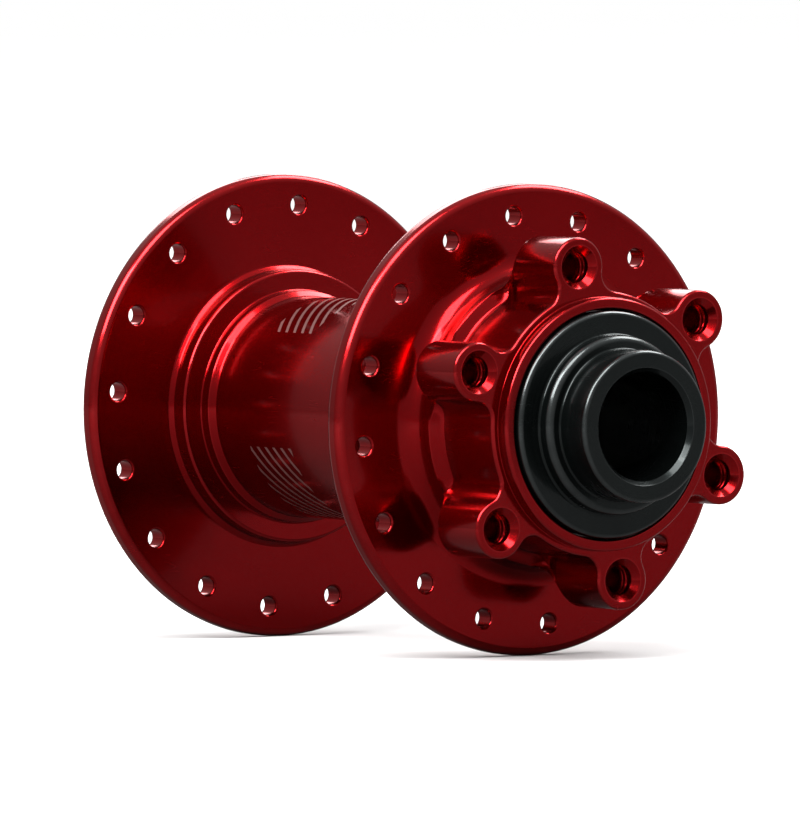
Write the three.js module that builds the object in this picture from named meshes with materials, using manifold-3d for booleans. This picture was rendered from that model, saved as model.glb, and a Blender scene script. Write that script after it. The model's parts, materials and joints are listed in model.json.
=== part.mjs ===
// Front bicycle hub: a one-piece turned and milled shell with two spoke flanges and a six-bolt
// disc mount, running on two sealed ball bearings round a tubular axle sleeve, with a pull-off
// end cap at each side for a 15 mm through axle.
//
// Frame: millimetres, +Y along the axle towards the drive side, +Z up, origin on the axle midway
// between the two fork faces. Angles round the axle run from +X towards +Z.
// Along the axle, a side piece is laid out by its distance out from the middle, and `side` is
// +1 on the drive side and -1 on the disc side.

import * as THREE from "three";
import { mergeVertices } from "three/addons/utils/BufferGeometryUtils.js";
import Module from "manifold-3d";

const wasm = await Module();
wasm.setup();

const DRIVE = 1;
const DISC = -1;
const FACETS = 32; // sides of a turned piece
const POCKET_FACETS = 10;
const HALF_TURN = Math.PI;
const QUARTER_TURN = Math.PI / 2;
const OVERRUN = 2; // how far a cutter runs past the face it starts from

// Driving dimensions.
const forkWidth = 110; // between the fork faces
const axleDiameter = 15; // through axle
const axleClearance = 0.05; // radial, round the through axle
const pressGap = 0.05; // radial, between pieces pressed together
const runGap = 0.3; // between a turning piece and a still one
const seatGap = 0.05; // along the axle, between pieces clamped together

// Spoke flanges.
const flangeDiameter = 65.5;
const flangeThickness = 3.2;
const discFlangeOffset = forkWidth / 2 - 28.5; // middle of the hub to the middle of each flange
const driveFlangeOffset = forkWidth / 2 - 21.5;
const spokeCircle = 57;
const spokesPerFlange = 16;
const spokeHoleDiameter = 2.6;
const firstSpokeHole = THREE.MathUtils.degToRad(6);
const edgeChamfer = 0.6;

// Disc mount.
const boltCircle = 44;
const boltCount = 6;
const firstBolt = firstSpokeHole + (1.5 * 2 * HALF_TURN) / spokesPerFlange; // in line with a hole
const threadCoreDiameter = 4.2; // M5
const threadDepth = 8.6;
const bossRadius = 4.1;
const bossFillet = 2.5; // where a boss meets the neck
const discFaceOffset = forkWidth / 2 - 10.5; // middle of the hub to the face the disc lies on
const registerDiameter = 35; // centres the disc
const registerHeight = 2;
const neckRadius = 18.4; // between the bosses
const neckOverlap = 2; // how far the milled bosses run into the turned neck
const filletSink = 0.1; // so that the fillets leave the neck at an angle
const undercutRadius = 5.4; // round groove behind the bosses, clear of the spoke heads
const bossLength = 9.5;

// Barrel.
const barrelWall = 2.2;
const bearingShoulder = 2.6; // height of the step that each bearing is pressed against
const flareRadius = 20; // where the barrel meets the disc-side flange
const flareLength = 15;
const flangeFillet = 4;
const innerStepRise = 0.8; // two turned steps at the drive-side flange, above the barrel
const outerStepRise = 3.7;
const innerStepHeight = 2.4;
const outerStepHeight = 3.1;
const driveBossRadius = 21;
const driveBossEndRadius = 18.7;
const driveBossFillet = 2;
const neckFillet = 3.1;
const neckShoulderRadius = 20.2;
const neckShoulderWidth = 0.7;

// Bearings: 20 x 32 x 7 mm.
const bearingBore = 20;
const bearingOutside = 32;
const bearingWidth = 7;
const ballDiameter = 3.5;
const ballCount = 12;
const ballGap = 0.12; // radial, in the race grooves and the cage pockets
const innerLand = 11.75; // radii of the two races beside their grooves
const outerLand = 14.25;
const sealRecessRadius = 14.8;
const sealThickness = 0.8;
const sealInset = 0.15;
const sealLipGap = 0.15;
const cageInner = 12.35;
const cageOuter = 13.65;
const cageBase = 2.35; // from the middle of the balls to the cage's closed side
const cageProng = 1.1; // and to the tips of its prongs

// Axle sleeve and end caps.
const sleeveWall = 1.6;
const sleeveCollarLength = 8;
const sleeveRelief = 0.4;
const spigotRadius = 9.9;
const spigotReach = 8; // how far the spigot goes into the sleeve
const capSkirtRadius = bearingOutside / 2 - runGap;
const capSkirtThickness = 2.3;
const capShoulderRadius = 11.6;
const capShoulderHeight = 0.65;
const capStepRadius = 12.4;
const capStepHeight = 2.2;
const capNoseRadius = 10.5;
const capNoseChamfer = 0.6;
const ringCordDiameter = 1.6; // cord of the O-ring on each spigot
const ringInset = 2.6; // spigot end to the middle of the O-ring

// Places that follow from them.
const shellEnd = discFaceOffset + registerHeight;
const pitchRadius = (bearingBore + bearingOutside) / 4;
const bearingOuterFace = shellEnd - capSkirtThickness;
const bearingInnerFace = bearingOuterFace - bearingWidth;
const bearingMiddle = bearingOuterFace - bearingWidth / 2;
const boreRadius = bearingOutside / 2 - bearingShoulder;
const barrelRadius = boreRadius + barrelWall;
const innerStepRadius = barrelRadius + innerStepRise;
const outerStepRadius = barrelRadius + outerStepRise;
const flangeRadius = flangeDiameter / 2;
const halfFlange = flangeThickness / 2;
const sleeveBore = bearingBore / 2 + 0.1;

const point = (radius, along) => new THREE.Vector2(radius, along);

// Points along an arc in the (radius, along) plane, both ends included.
function arc(centreRadius, centreAlong, size, from, to, steps = 3) {
  return Array.from({ length: steps + 1 }, (_, i) => {
    const t = from + ((to - from) * i) / steps;
    return point(centreRadius + size * Math.cos(t), centreAlong + size * Math.sin(t));
  });
}

// A turned piece. The outline runs anticlockwise in the (radius, along) plane, and is mirrored
// to the disc side with side = DISC.
function turn(outline, side = DRIVE, facets = FACETS) {
  const placed = outline.map((p) => point(p.x, side * p.y));
  if (side === DISC) placed.reverse();
  return new THREE.LatheGeometry([...placed, placed[0]], facets);
}

// A turned piece with no bore: its outline starts and ends on the axle line.
function turnSolid(outline) {
  return new THREE.LatheGeometry(outline, FACETS);
}

function toSolid(geometry) {
  const bare = geometry.clone();
  bare.deleteAttribute("normal");
  bare.deleteAttribute("uv");
  const merged = mergeVertices(bare, 1e-4);
  return new wasm.Manifold(
    new wasm.Mesh({
      numProp: 3,
      vertProperties: merged.attributes.position.array,
      triVerts: Uint32Array.from(merged.index.array),
    }),
  );
}

function toGeometry(solid) {
  const mesh = solid.getMesh();
  const geometry = new THREE.BufferGeometry();
  geometry.setAttribute("position", new THREE.BufferAttribute(mesh.vertProperties, 3));
  geometry.setIndex(new THREE.BufferAttribute(mesh.triVerts, 1));
  const flat = geometry.toNonIndexed();
  flat.computeVertexNormals();
  return flat;
}

// A round bar along the axle direction, standing at an angle and radius from the axle line.
function bar(radius, angle, distance, fromY, toY, sides) {
  const geometry = new THREE.CylinderGeometry(radius, radius, Math.abs(toY - fromY), sides);
  geometry.rotateY(HALF_TURN / sides);
  return geometry.translate(
    distance * Math.cos(angle),
    (fromY + toY) / 2,
    distance * Math.sin(angle),
  );
}

function anglesOf(count, first) {
  return Array.from({ length: count }, (_, i) => first + (i * 2 * HALF_TURN) / count);
}

// The milled outline of the disc mount: a round boss at each bolt, joined to the neck on both
// sides by a fillet. Between bosses it dips below the neck, which the turned shell fills.
function bossOutline() {
  const boltRadius = boltCircle / 2;
  const filletDistance = neckRadius - filletSink + bossFillet;
  const reach = bossRadius + bossFillet;
  const lean = Math.acos(
    (filletDistance ** 2 + boltRadius ** 2 - reach ** 2) / (2 * filletDistance * boltRadius),
  );
  const around = Math.atan2(
    filletDistance * Math.sin(lean),
    filletDistance * Math.cos(lean) - boltRadius,
  );
  const floor = neckRadius - neckOverlap;
  const shape = new THREE.Shape();
  const place = (distance, angle) => [distance * Math.cos(angle), distance * Math.sin(angle)];
  shape.moveTo(...place(floor, firstBolt - lean));
  for (const angle of anglesOf(boltCount, firstBolt)) {
    const [before, after] = [angle - lean, angle + lean];
    shape.lineTo(...place(floor, before));
    shape.absarc(
      ...place(filletDistance, before),
      bossFillet,
      before + HALF_TURN,
      angle - around + HALF_TURN,
      true,
    );
    shape.absarc(...place(boltRadius, angle), bossRadius, angle - around, angle + around, false);
    shape.absarc(
      ...place(filletDistance, after),
      bossFillet,
      angle + around + HALF_TURN,
      after + HALF_TURN,
      true,
    );
    shape.lineTo(...place(floor, after));
  }
  return shape;
}

// The bosses: the milled outline, cut to the turned envelope with its groove behind the bosses.
function discMount() {
  const grooveMiddle = bossLength + undercutRadius - discFaceOffset;
  const tip = boltCircle / 2 + bossRadius;
  const envelope = turnSolid([
    point(0, -discFaceOffset),
    point(tip - edgeChamfer, -discFaceOffset),
    point(tip, edgeChamfer - discFaceOffset),
    point(tip, bossLength - discFaceOffset - edgeChamfer),
    ...arc(tip - edgeChamfer / 2, grooveMiddle, undercutRadius, -QUARTER_TURN, -HALF_TURN, 4),
    point(0, grooveMiddle),
  ]);
  const milled = new THREE.ExtrudeGeometry(bossOutline(), {
    depth: bossLength + undercutRadius,
    bevelEnabled: false,
    curveSegments: 5,
  });
  milled.rotateX(QUARTER_TURN);
  milled.translate(0, grooveMiddle, 0);
  return toSolid(milled).intersect(toSolid(envelope));
}

// Outside of the shell as it comes off the lathe, disc end first.
function shellOutline() {
  const register = registerDiameter / 2;
  const chamfer = edgeChamfer / 2;
  const discOut = -discFlangeOffset - halfFlange;
  const discIn = -discFlangeOffset + halfFlange;
  const driveIn = driveFlangeOffset - halfFlange;
  const driveOut = driveFlangeOffset + halfFlange;
  const flareStart = discIn + flangeFillet;
  const flare = Array.from({ length: 5 }, (_, i) => {
    const share = i / 4;
    const rise = 0.5 * (1 + Math.cos(HALF_TURN * share));
    return point(
      barrelRadius + (flareRadius - barrelRadius) * rise,
      flareStart + flareLength * share,
    );
  });
  const rim = (low, high) => [
    point(flangeRadius - edgeChamfer, low),
    point(flangeRadius, low + edgeChamfer),
    point(flangeRadius, high - edgeChamfer),
    point(flangeRadius - edgeChamfer, high),
  ];
  const neckTop = discOut - neckFillet;
  const neckEdge = neckTop - neckShoulderWidth;
  return [
    point(0, -shellEnd),
    point(register - chamfer, -shellEnd),
    point(register, chamfer - shellEnd),
    point(register, -discFaceOffset),
    point(neckRadius, -discFaceOffset),
    point(neckRadius, neckEdge - 1),
    point(neckShoulderRadius, neckEdge),
    ...arc(neckShoulderRadius + neckFillet, neckTop, neckFillet, HALF_TURN, QUARTER_TURN),
    ...rim(discOut, discIn),
    ...arc(flareRadius + flangeFillet, flareStart, flangeFillet, -QUARTER_TURN, -HALF_TURN),
    ...flare.slice(1),
    point(barrelRadius, driveIn - outerStepHeight - innerStepHeight),
    point(innerStepRadius, driveIn - outerStepHeight - innerStepHeight + 0.8),
    point(innerStepRadius, driveIn - outerStepHeight),
    point(outerStepRadius - chamfer, driveIn - outerStepHeight),
    point(outerStepRadius, driveIn - outerStepHeight + chamfer),
    point(outerStepRadius, driveIn - 1),
    point(outerStepRadius + 1, driveIn),
    ...rim(driveIn, driveOut),
    ...arc(
      driveBossRadius + driveBossFillet,
      driveOut + driveBossFillet,
      driveBossFillet,
      -QUARTER_TURN,
      -HALF_TURN,
      2,
    ),
    point(driveBossEndRadius, shellEnd - edgeChamfer),
    point(driveBossEndRadius - edgeChamfer, shellEnd),
    point(0, shellEnd),
  ];
}

// Everything bored out of the shell from its two ends: the bearing seats and the through bore.
function shellBore() {
  const seat = bearingOutside / 2;
  const step = bearingInnerFace - seatGap;
  return turnSolid([
    point(0, -shellEnd - OVERRUN),
    point(seat, -shellEnd - OVERRUN),
    point(seat, -step),
    point(boreRadius, -step),
    point(boreRadius, step),
    point(seat, step),
    point(seat, shellEnd + OVERRUN),
    point(0, shellEnd + OVERRUN),
  ]);
}

function hubShell() {
  let solid = toSolid(turnSolid(shellOutline())).add(discMount());
  const cuts = [shellBore()];
  for (const angle of anglesOf(boltCount, firstBolt))
    cuts.push(
      bar(
        threadCoreDiameter / 2,
        angle,
        boltCircle / 2,
        -discFaceOffset - OVERRUN,
        threadDepth - discFaceOffset,
        10,
      ),
    );
  const halfHolePitch = HALF_TURN / spokesPerFlange;
  const flanges = [
    { middle: -discFlangeOffset, first: firstSpokeHole },
    { middle: driveFlangeOffset, first: firstSpokeHole + halfHolePitch },
  ];
  for (const { middle, first } of flanges)
    for (const angle of anglesOf(spokesPerFlange, first))
      cuts.push(
        bar(
          spokeHoleDiameter / 2,
          angle,
          spokeCircle / 2,
          middle - flangeThickness,
          middle + flangeThickness,
          8,
        ),
      );
  for (const cut of cuts) solid = solid.subtract(toSolid(cut));
  return toGeometry(solid);
}

// Tube that holds the two inner races apart. Its collars stand against them.
function axleSleeve() {
  const end = bearingInnerFace - seatGap;
  const collarEnd = end - sleeveCollarLength;
  const outside = sleeveBore + sleeveWall;
  const relieved = outside - sleeveRelief;
  return turn([
    point(outside, -end),
    point(outside, -collarEnd),
    point(relieved, sleeveRelief - collarEnd),
    point(relieved, collarEnd - sleeveRelief),
    point(outside, collarEnd),
    point(outside, end),
    point(sleeveBore, end),
    point(sleeveBore, -end),
  ]);
}

// End cap: spigot with an O-ring groove, shoulder on the inner race, skirt that covers the
// bearing, step, and a nose whose flat end meets the fork.
function endCap(side) {
  const bore = axleDiameter / 2 + axleClearance;
  const spigotEnd = bearingInnerFace - spigotReach;
  const ringMiddle = spigotEnd + ringInset;
  const grooveHalf = ringCordDiameter * 0.6;
  const grooveFloor = bearingBore / 2 - ringCordDiameter;
  const shoulder = bearingOuterFace + seatGap;
  const skirt = shoulder + capShoulderHeight;
  const step = skirt + capSkirtThickness;
  const nose = step + capStepHeight;
  const end = forkWidth / 2;
  const chamfer = edgeChamfer / 2;
  return turn(
    [
      point(bore, end),
      point(bore, spigotEnd),
      point(spigotRadius - chamfer, spigotEnd),
      point(spigotRadius, spigotEnd + chamfer),
      point(spigotRadius, ringMiddle - grooveHalf),
      point(grooveFloor, ringMiddle - grooveHalf),
      point(grooveFloor, ringMiddle + grooveHalf),
      point(spigotRadius, ringMiddle + grooveHalf),
      point(spigotRadius, shoulder),
      point(capShoulderRadius, shoulder),
      point(capShoulderRadius, skirt),
      point(capSkirtRadius, skirt),
      point(capSkirtRadius, step - edgeChamfer),
      point(capSkirtRadius - edgeChamfer, step),
      point(capStepRadius, step),
      point(capStepRadius, nose - chamfer),
      point(capStepRadius - chamfer, nose),
      point(capNoseRadius, nose),
      point(capNoseRadius, end - capNoseChamfer),
      point(capNoseRadius - capNoseChamfer, end),
    ],
    side,
  );
}

// Rubber ring in the spigot's groove. It grips the sleeve's bore and holds the cap on.
function capRing(side) {
  const radius = ringCordDiameter / 2 - pressGap;
  const middle = bearingInnerFace - spigotReach + ringInset;
  const ring = arc((bearingBore - ringCordDiameter) / 2, middle, radius, 0, 2 * HALF_TURN, 6);
  return turn(ring.slice(0, -1), side);
}

const grooveReach = ballDiameter / 2 + ballGap;

// Half the width of a race groove where it meets a land of the given radius.
function grooveHalfAngle(land) {
  return Math.acos(Math.abs(land - pitchRadius) / grooveReach);
}

function innerRace(side) {
  const half = grooveHalfAngle(innerLand);
  const inside = bearingBore / 2;
  return turn(
    [
      point(inside, bearingOuterFace),
      point(inside, bearingInnerFace),
      point(innerLand, bearingInnerFace),
      ...arc(pitchRadius, bearingMiddle, grooveReach, HALF_TURN + half, HALF_TURN - half),
      point(innerLand, bearingOuterFace),
    ],
    side,
  );
}

function outerRace(side) {
  const half = grooveHalfAngle(outerLand);
  const outside = bearingOutside / 2 - pressGap;
  const recess = sealThickness + 2 * sealInset;
  return turn(
    [
      point(outside, bearingInnerFace),
      point(outside, bearingOuterFace),
      point(sealRecessRadius, bearingOuterFace),
      point(sealRecessRadius, bearingOuterFace - recess),
      point(outerLand, bearingOuterFace - recess),
      ...arc(pitchRadius, bearingMiddle, grooveReach, half, -half),
      point(outerLand, bearingInnerFace + recess),
      point(sealRecessRadius, bearingInnerFace + recess),
      point(sealRecessRadius, bearingInnerFace),
    ],
    side,
  );
}

// Rubber-faced seal in the outer race. faceOut tells the one under the end cap from the inner one.
function bearingSeal(side, faceOut) {
  const low = faceOut
    ? bearingOuterFace - sealInset - sealThickness
    : bearingInnerFace + sealInset;
  const lip = innerLand + sealLipGap;
  const rim = sealRecessRadius - pressGap;
  return turn(
    [
      point(rim, low),
      point(rim, low + sealThickness),
      point(lip, low + sealThickness),
      point(lip, low),
    ],
    side,
  );
}

function ballAngles() {
  return anglesOf(ballCount, HALF_TURN / ballCount);
}

function ballPlace(side, angle) {
  return new THREE.Vector3(
    pitchRadius * Math.cos(angle),
    side * bearingMiddle,
    pitchRadius * Math.sin(angle),
  );
}

// Crown cage: a thin ring with a round pocket for each ball, open on the side that faces the
// middle of the hub.
function cage(side) {
  const ring = turn(
    [
      point(cageOuter, bearingMiddle - cageProng),
      point(cageOuter, bearingMiddle + cageBase),
      point(cageInner, bearingMiddle + cageBase),
      point(cageInner, bearingMiddle - cageProng),
    ],
    side,
  );
  let solid = toSolid(ring);
  for (const angle of ballAngles()) {
    const pocket = new THREE.CylinderGeometry(grooveReach, grooveReach, ballDiameter, POCKET_FACETS);
    pocket.rotateZ(QUARTER_TURN);
    pocket.rotateY(-angle);
    const place = ballPlace(side, angle);
    pocket.translate(place.x, place.y, place.z);
    solid = solid.subtract(toSolid(pocket));
  }
  return toGeometry(solid);
}

const finishes = {
  redAnodised: { color: 0xa30d12, roughness: 0.25, metalness: 0.9 },
  blackAnodised: { color: 0x101113, roughness: 0.35, metalness: 0.8 },
  turnedAluminium: { color: 0xb9bbbe, roughness: 0.35, metalness: 1 },
  bearingSteel: { color: 0x9fa1a4, roughness: 0.2, metalness: 1 },
  sealRubber: { color: 0x17181a, roughness: 0.7, metalness: 0 },
  ringRubber: { color: 0x0d0d0e, roughness: 0.6, metalness: 0 },
  cageNylon: { color: 0xcfc7b0, roughness: 0.5, metalness: 0 },
};

const materials = Object.fromEntries(
  Object.entries(finishes).map(([name, finish]) => [name, new THREE.MeshStandardMaterial(finish)]),
);

const hub = new THREE.Group();

function addPiece(name, geometry, finish) {
  const mesh = new THREE.Mesh(geometry, materials[finish]);
  mesh.name = name;
  hub.add(mesh);
  return mesh;
}

addPiece("hub_shell", hubShell(), "redAnodised");
addPiece("axle_sleeve", axleSleeve(), "turnedAluminium");
for (const side of [DISC, DRIVE]) {
  const prefix = side === DISC ? "disc_side" : "drive_side";
  addPiece(`${prefix}_end_cap`, endCap(side), "blackAnodised");
  addPiece(`${prefix}_cap_o_ring`, capRing(side), "ringRubber");
  addPiece(`${prefix}_outer_race`, outerRace(side), "bearingSteel");
  addPiece(`${prefix}_inner_race`, innerRace(side), "bearingSteel");
  addPiece(`${prefix}_outboard_seal`, bearingSeal(side, true), "sealRubber");
  addPiece(`${prefix}_inboard_seal`, bearingSeal(side, false), "sealRubber");
  addPiece(`${prefix}_ball_cage`, cage(side), "cageNylon");
  ballAngles().forEach((angle, i) => {
    const number = String(i + 1).padStart(2, "0");
    const ball = addPiece(
      `${prefix}_ball_${number}`,
      new THREE.IcosahedronGeometry(ballDiameter / 2, 1),
      "bearingSteel",
    );
    ball.position.copy(ballPlace(side, angle));
  });
}

export default hub;
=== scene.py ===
import json
import math

import bmesh
import bpy
import numpy as np
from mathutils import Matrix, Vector


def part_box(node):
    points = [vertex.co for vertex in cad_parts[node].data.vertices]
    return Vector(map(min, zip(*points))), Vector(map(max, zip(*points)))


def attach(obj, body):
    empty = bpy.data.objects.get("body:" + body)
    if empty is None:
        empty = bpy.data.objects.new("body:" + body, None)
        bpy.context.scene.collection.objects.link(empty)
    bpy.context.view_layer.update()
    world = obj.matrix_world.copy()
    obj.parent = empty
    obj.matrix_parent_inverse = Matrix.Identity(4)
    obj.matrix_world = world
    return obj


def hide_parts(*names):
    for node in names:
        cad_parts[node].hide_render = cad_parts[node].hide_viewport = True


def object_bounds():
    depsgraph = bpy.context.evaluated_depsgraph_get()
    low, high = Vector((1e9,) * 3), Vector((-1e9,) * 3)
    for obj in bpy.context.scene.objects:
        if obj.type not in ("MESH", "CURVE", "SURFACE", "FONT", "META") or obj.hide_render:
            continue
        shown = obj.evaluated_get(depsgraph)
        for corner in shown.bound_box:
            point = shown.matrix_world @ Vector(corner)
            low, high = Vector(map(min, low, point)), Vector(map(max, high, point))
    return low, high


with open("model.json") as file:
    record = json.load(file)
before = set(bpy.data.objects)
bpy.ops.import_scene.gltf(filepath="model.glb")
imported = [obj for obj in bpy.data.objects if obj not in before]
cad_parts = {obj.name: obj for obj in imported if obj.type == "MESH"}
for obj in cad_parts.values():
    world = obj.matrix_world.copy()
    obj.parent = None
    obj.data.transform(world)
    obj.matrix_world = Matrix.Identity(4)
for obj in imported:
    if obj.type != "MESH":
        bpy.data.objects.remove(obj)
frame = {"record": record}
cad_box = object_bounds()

# ---- Stage ---------------------------------------------------------------------------------
# The hub stands on the rims of its two flanges on a pale matt floor. It is seen from ahead of
# the disc side, a little above the axle, from two and a quarter metres away through a long lens.

MM = 0.001

view_azimuth, view_elevation = -35.3, 2.4  # in degrees; azimuth 0 looks along +Y
view_distance = 2.25
view_lens = 700.0
view_end = 40.0
view_aside = -2.0 * MM  # from the origin to the point aimed at, along the picture's width


def heading(azimuth, elevation):
    """The direction of a place at this azimuth and elevation, in degrees:
    (sin a cos e, -cos a cos e, sin e)."""
    turn, rise = math.radians(azimuth), math.radians(elevation)
    return Vector((
        math.sin(turn) * math.cos(rise),
        -math.cos(turn) * math.cos(rise),
        math.sin(rise),
    ))


def aimed(data, direction, distance, target):
    """A camera or a lamp at a distance from its target, facing it."""
    made = bpy.data.objects.new(data.name, data)
    made.location = target + direction * distance
    made.rotation_euler = (-direction).to_track_quat("-Z", "Y").to_euler()
    bpy.context.collection.objects.link(made)
    return made


view_turn = math.radians(view_azimuth)
camera = aimed(
    bpy.data.cameras.new("camera"), heading(view_azimuth, view_elevation), view_distance,
    Vector((math.cos(view_turn), math.sin(view_turn), 0.0)) * view_aside,
)
camera.data.lens = view_lens
camera.data.clip_end = view_end
bpy.context.scene.camera = camera
bpy.context.scene.view_settings.view_transform = "Standard"


def node(tree, kind, inputs=None, **settings):
    """A new node with its settings; each input is given by its name or number and is a value or
    the output socket that feeds it."""
    made = tree.nodes.new(kind)
    for key, value in settings.items():
        setattr(made, key, value)
    for key, value in (inputs or {}).items():
        if isinstance(value, bpy.types.NodeSocket):
            tree.links.new(value, made.inputs[key])
        else:
            made.inputs[key].default_value = value
    return made


def places(tree):
    """The object's own coordinates, in metres."""
    return node(tree, "ShaderNodeTexCoord").outputs["Object"]


def maths(tree, operation, *values, clamp=False):
    """One sum on up to three values or sockets."""
    made = node(
        tree, "ShaderNodeMath", dict(enumerate(values)), operation=operation, use_clamp=clamp
    )
    return made.outputs[0]


def ranged(tree, value, span, result=(0.0, 1.0), **settings):
    """The value taken from one span to another, and held at both ends."""
    return node(tree, "ShaderNodeMapRange", {
        "Value": value, "From Min": span[0], "From Max": span[1],
        "To Min": result[0], "To Max": result[1],
    }, **settings).outputs[0]


def noise(tree, place, scale, detail=2.0, roughness=0.5, distortion=0.0):
    """A noise texture's value over the places given."""
    return node(tree, "ShaderNodeTexNoise", {
        "Vector": place, "Scale": scale, "Detail": detail, "Roughness": roughness,
        "Distortion": distortion,
    }).outputs[0]


def blended(tree, share, low, high):
    """Colour that goes from low to high as share goes from 0 to 1."""
    return node(tree, "ShaderNodeMix", {0: share, 6: low, 7: high}, data_type="RGBA").outputs[2]


def finish_of(name, **values):
    """A new material's tree and its Principled shader, with the sockets named in values set."""
    material = bpy.data.materials.new(name)
    material.use_nodes = True
    tree = material.node_tree
    shader = tree.nodes["Principled BSDF"]
    for key, value in values.items():
        shader.inputs[key.replace("_", " ")].default_value = value
    return material, tree, shader


floor_size = 30.0
floor_gap = 0.02 * MM  # under the flanges
card_grey, card_pale = (0.8, 0.8, 0.8, 1), (0.83, 0.83, 0.825, 1)
mottle_scale = 3.0
glow_span, glow_strength = (0.12, 0.7), (0.0, 0.55)  # metres from the middle of the hub
# painted shade: the card as the hub mirrors it, darkest near the hub
dim_span, dim_shade = (0.05, 1.2), (0.09, 0.3)

floor_level = cad_box[0].z - floor_gap
floor_corners = np.array([(-1, -1), (1, -1), (1, 1), (-1, 1)]) * floor_size / 2
floor_mesh = bpy.data.meshes.new("floor")
floor_mesh.from_pydata(
    [(x, y, floor_level) for x, y in floor_corners], [], [(0, 1, 2, 3)]
)
floor = bpy.data.objects.new("floor", floor_mesh)
bpy.context.collection.objects.link(floor)
floor_finish, tree, shader = finish_of(
    "floor_card", Roughness=0.85, Emission_Color=(1, 1, 1, 1)
)
place = places(tree)
card = blended(tree, noise(tree, place, mottle_scale, 3.0), card_grey, card_pale)

# Away from the hub the card glows by itself, so that it runs evenly into the backdrop. What the hub
# mirrors of it is darker than what the camera sees, and darkest near the hub: painted shade for the
# hub's lower side.
far = node(tree, "ShaderNodeVectorMath", {0: place}, operation="LENGTH").outputs["Value"]
seen = node(tree, "ShaderNodeLightPath").outputs["Is Camera Ray"]
glow = ranged(tree, far, glow_span, glow_strength, interpolation_type="SMOOTHSTEP")
tree.links.new(maths(tree, "MULTIPLY", glow, seen), shader.inputs["Emission Strength"])
mirrored_shade = ranged(tree, far, dim_span, dim_shade)
tree.links.new(blended(tree, seen, mirrored_shade, card), shader.inputs["Base Color"])
floor_mesh.materials.append(floor_finish)


def softbox(name, azimuth, elevation, distance, width, height, power):
    """A rectangular lamp that faces the hub, in degrees, metres and watts."""
    lamp = bpy.data.lights.new(name, "AREA")
    lamp.shape = "RECTANGLE"
    lamp.size, lamp.size_y = width, height
    lamp.energy = power
    aimed(lamp, heading(azimuth, elevation), distance, Vector())


softbox("key_softbox", azimuth=-78, elevation=42, distance=1.2, width=0.8, height=0.6, power=21)
softbox("top_softbox", azimuth=-36, elevation=60, distance=1.1, width=0.7, height=0.5, power=11)
softbox("fill_softbox", azimuth=84, elevation=50, distance=1.4, width=0.8, height=0.5, power=16)
softbox("back_softbox", azimuth=150, elevation=28, distance=1.6, width=0.9, height=0.6, power=7)

# The room's light is bright overhead and dim at eye level; the backdrop seen directly is pale.
room_span, room_strength = (0.0, 0.9), (0.32, 0.62)  # from level to nearly overhead
backdrop_strength = 1.0
world = bpy.data.worlds.new("studio")
bpy.context.scene.world = world
world.use_nodes = True
tree = world.node_tree
direction = node(tree, "ShaderNodeTexCoord").outputs["Generated"]
height = node(tree, "ShaderNodeSeparateXYZ", {0: direction}).outputs["Z"]
room = ranged(tree, height, room_span, room_strength)
seen = node(tree, "ShaderNodeLightPath").outputs["Is Camera Ray"]
strength = node(tree, "ShaderNodeMix", {0: seen, 2: room, 3: backdrop_strength})
tree.links.new(strength.outputs[0], tree.nodes["Background"].inputs["Strength"])
tree.nodes["Background"].inputs["Color"].default_value = (1, 1, 1, 1)

# ---- Hub shell -----------------------------------------------------------------------------
# One piece of aluminium alloy: turned all over, milled round its six disc bolts, drilled for the
# spokes and tapped for the bolts, then polished, dyed red in the anodising bath and sealed.

COLUMNS = 288  # facets round the axle: a multiple of 96 puts holes and bosses on whole columns
SUPPORT = 0.06  # a flat face keeps a row this close to each rounded edge
CLOSE = 0.001  # rows nearer to each other than this are one row
SQUARE = 0.99999  # share of a face's normal along the axle, past which it is shaded flat


def corners_of(name):
    """A CAD node's lowest and highest corner, in millimetres."""
    return [np.array(corner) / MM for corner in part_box(name)]


mount_along = {mount["name"]: mount["pos_m"][1] / MM for mount in frame["record"]["mounts"]}
flange_radius, shell_end, _ = corners_of("hub_shell")[1]
flange_edge = 1.1
flange_thickness = 3.2
disc_flange = (  # outer and inner face, along the axle
    mount_along["disc_spoke_flange"], mount_along["disc_spoke_flange"] + flange_thickness
)
drive_flange = (
    mount_along["drive_spoke_flange"], mount_along["drive_spoke_flange"] - flange_thickness
)
spoke_circle = 28.5
spoke_hole = 1.3
spokes = 16
hole_mouth = 0.28
band = (25.4, 31.4)  # flat ring of each flange that the holes are drilled in
band_rings = np.array([0.0, 0.55, 1.0])
first_hole = math.radians(6)

bolt_circle = 22.0
bosses = 6
first_boss = first_hole + 1.5 * 2 * math.pi / spokes
boss_radius = 4.1
boss_fillet = 2.5
boss_tip = bolt_circle + boss_radius
disc_face = mount_along["disc_rotor_face"]
face_edge = 0.42
face_start = 17.72
register_radius = 17.5  # the low ring that centres the disc
neck_radius = 18.4
neck_rise = 1.8  # outwards for each millimetre along the axle, where the neck meets the ridge
ridge = (20.2, -31.9)  # where the neck's shoulder, or the groove behind a boss, ends
ridge_width = 0.35
ridge_margin = 0.3  # a wall that ends nearer to the ridge than this has no edge of its own
groove_depth = 3.1
groove_end = 0.93  # share of the groove after which it rounds over into the ridge
back_edge = 0.45
back_share = 0.4  # of the groove, at most, that the back edge takes
groove_least = 0.05

thread_core = 2.1
thread_rise = 0.36
thread_pitch = 0.8
thread_rows = 6  # to each turn
thread_start = 1.2
thread_seen = 4.0
hole_depth = 8.6
drill_point = 0.9
sink_radius = 3.0
sink_depth = 0.9
sink_rim = 0.2  # flat ring left round the countersink
sink_edge = 0.12
# painted highlight: share of the brighter edge red at each countersink's rounded mouth
sink_highlight = 0.8
sink_rings = np.array([0.0, 0.5, 0.85, 1.0])

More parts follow.
